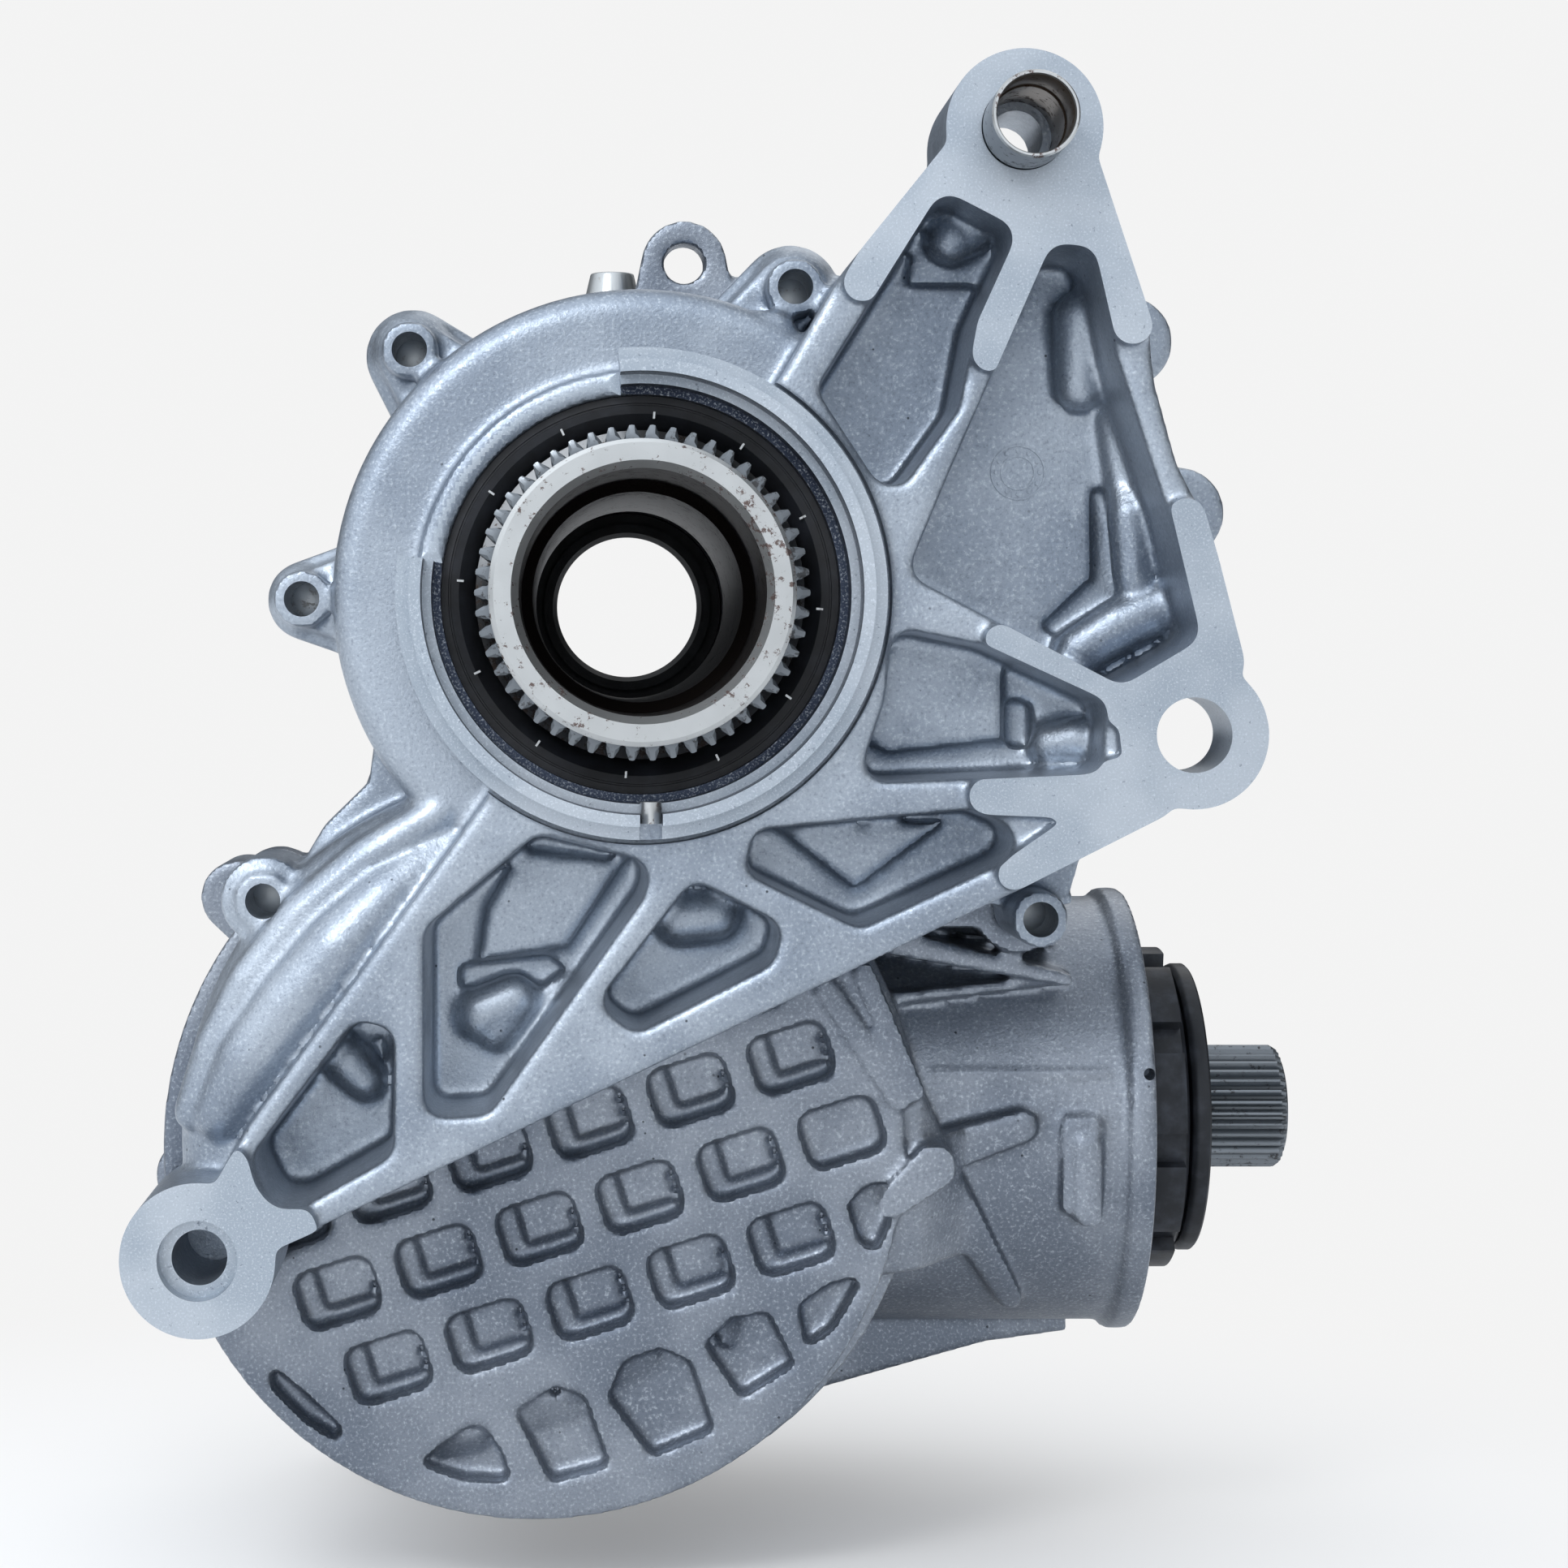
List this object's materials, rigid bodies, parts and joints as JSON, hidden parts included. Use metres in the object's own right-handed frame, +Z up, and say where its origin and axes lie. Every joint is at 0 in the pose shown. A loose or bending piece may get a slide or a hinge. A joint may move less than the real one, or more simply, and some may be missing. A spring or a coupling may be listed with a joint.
{
  "type": "power transfer unit",
  "caption": "Transfer case that bolts to a transverse gearbox and turns its drive through a spiral bevel pair to a rear propeller shaft.",
  "frame": {"origin": "on the input shaft's axis, in the plane of the machined ear faces that bolt to the gearbox", "axes": "+Y along the input shaft away from the gearbox, +X towards the propeller shaft, +Z up as fitted in the car"},
  "size_m": [0.2443, 0.184, 0.2967],
  "materials": {
    "cast_aluminium": "sand-cast, matt, lightly oxidised",
    "zinc_steel": "zinc plated",
    "black_steel": "black phosphate",
    "bright_steel": "ground",
    "gear_steel": "ground, oiled, specks of rust",
    "bearing_steel": "polished",
    "seal_rubber": "moulded",
    "copper": "annealed"
  },
  "bodies": {
    "case": {"axle_seal": "seal_rubber", "breather_cap": "black_steel", "case_dowel_pins": "bright_steel", "drain_plug": "zinc_steel", "fill_plug": "zinc_steel", "front_housing": "cast_aluminium", "front_joint_bolts": "zinc_steel", "hollow_dowel": "bright_steel", "input_front_cup": "bearing_steel", "input_front_seal": "seal_rubber", "input_rear_cup": "bearing_steel", "locating_pin": "bright_steel", "main_housing": "cast_aluminium", "pinion_head_cup": "bearing_steel", "pinion_lock_ring": "black_steel", "pinion_seal": "seal_rubber", "pinion_shim": "bright_steel", "pinion_tail_cup": "bearing_steel", "plug_washers": "copper", "rear_cover": "cast_aluminium", "rear_cover_bolts": "zinc_steel", "ring_bearing_shim": "bright_steel", "ring_front_cup": "bearing_steel", "ring_rear_cup": "bearing_steel"},
    "input_line": {"input_shaft": "gear_steel", "input_gear": "gear_steel", "input_gear_circlip": "black_steel", "input_front_cone": "bearing_steel", "input_rear_cone": "bearing_steel"},
    "ring_line": {"ring_shaft": "gear_steel", "driven_gear": "gear_steel", "ring_gear": "gear_steel", "ring_gear_bolts": "black_steel", "ring_front_cone": "bearing_steel", "ring_rear_cone": "bearing_steel"},
    "pinion_line": {"pinion_shaft": "gear_steel", "pinion_head_cone": "bearing_steel", "pinion_tail_cone": "bearing_steel", "crush_sleeve": "bright_steel", "pinion_nut": "black_steel", "pinion_dust_shield": "black_steel"},
    "input_front_cage": {"input_front_rollers": "bearing_steel"},
    "input_rear_cage": {"input_rear_rollers": "bearing_steel"},
    "ring_front_cage": {"ring_front_rollers": "bearing_steel"},
    "ring_rear_cage": {"ring_rear_rollers": "bearing_steel"},
    "pinion_head_cage": {"pinion_head_rollers": "bearing_steel"},
    "pinion_tail_cage": {"pinion_tail_rollers": "bearing_steel"}
  },
  "joints": [
    {"name": "input_spin", "type": "hinge", "parent": "case", "child": "input_line", "pos_m": [0, 0.05, 0], "axis": [0, 1, 0], "continuous": true},
    {"name": "ring_spin", "type": "hinge", "parent": "case", "child": "ring_line", "pos_m": [-0.0175, 0.1, -0.108], "axis": [0, 1, 0], "continuous": true},
    {"name": "pinion_spin", "type": "hinge", "parent": "case", "child": "pinion_line", "pos_m": [0.08, 0.098, -0.108], "axis": [1, 0, 0], "continuous": true},
    {"name": "input_front_cage_spin", "type": "hinge", "parent": "case", "child": "input_front_cage", "pos_m": [0, 0.05, 0], "axis": [0, 1, 0], "continuous": true},
    {"name": "input_rear_cage_spin", "type": "hinge", "parent": "case", "child": "input_rear_cage", "pos_m": [0, 0.05, 0], "axis": [0, 1, 0], "continuous": true},
    {"name": "ring_front_cage_spin", "type": "hinge", "parent": "case", "child": "ring_front_cage", "pos_m": [-0.0175, 0.1, -0.108], "axis": [0, 1, 0], "continuous": true},
    {"name": "ring_rear_cage_spin", "type": "hinge", "parent": "case", "child": "ring_rear_cage", "pos_m": [-0.0175, 0.1, -0.108], "axis": [0, 1, 0], "continuous": true},
    {"name": "pinion_head_cage_spin", "type": "hinge", "parent": "case", "child": "pinion_head_cage", "pos_m": [0.08, 0.098, -0.108], "axis": [1, 0, 0], "continuous": true},
    {"name": "pinion_tail_cage_spin", "type": "hinge", "parent": "case", "child": "pinion_tail_cage", "pos_m": [0.08, 0.098, -0.108], "axis": [1, 0, 0], "continuous": true}
  ],
  "couplings": [
    {"joint": "ring_spin", "follows": "input_spin", "ratio": -0.83333},
    {"joint": "pinion_spin", "follows": "input_spin", "ratio": 1.9271},
    {"joint": "input_front_cage_spin", "follows": "input_spin", "ratio": 0.43},
    {"joint": "input_rear_cage_spin", "follows": "input_spin", "ratio": 0.43},
    {"joint": "ring_front_cage_spin", "follows": "input_spin", "ratio": -0.35833},
    {"joint": "ring_rear_cage_spin", "follows": "input_spin", "ratio": -0.35833},
    {"joint": "pinion_head_cage_spin", "follows": "input_spin", "ratio": 0.82865},
    {"joint": "pinion_tail_cage_spin", "follows": "input_spin", "ratio": 0.82865}
  ]
}
